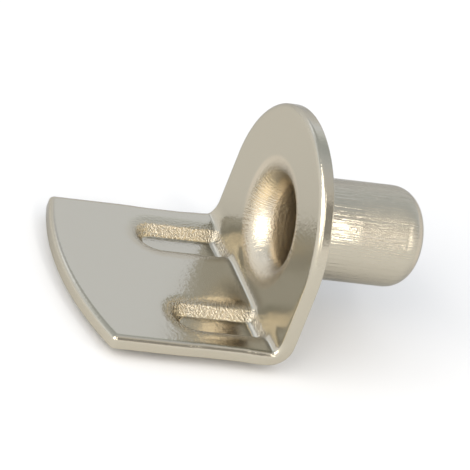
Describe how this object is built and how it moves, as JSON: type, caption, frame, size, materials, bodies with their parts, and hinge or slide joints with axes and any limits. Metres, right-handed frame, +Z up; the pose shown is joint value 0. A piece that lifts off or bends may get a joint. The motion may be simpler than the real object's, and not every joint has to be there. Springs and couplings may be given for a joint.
{
  "type": "shelf support pin",
  "caption": "L-shaped shelf support pressed from one piece of nickel-plated steel sheet, with a drawn hollow pin and two stiffening beads.",
  "frame": {"origin": "on the pin's axis, in the outer face of the bearing plate, where the support meets the cabinet's side", "axes": "+X along the pin towards its tip, +Z up from the seat, +Y across the seat"},
  "size_m": [0.0219, 0.0148, 0.0137],
  "materials": {
    "nickel_plate": "bright nickel plate on pressed steel sheet"
  },
  "bodies": {
    "root": {"support": "nickel_plate"}
  },
  "joints": []
}
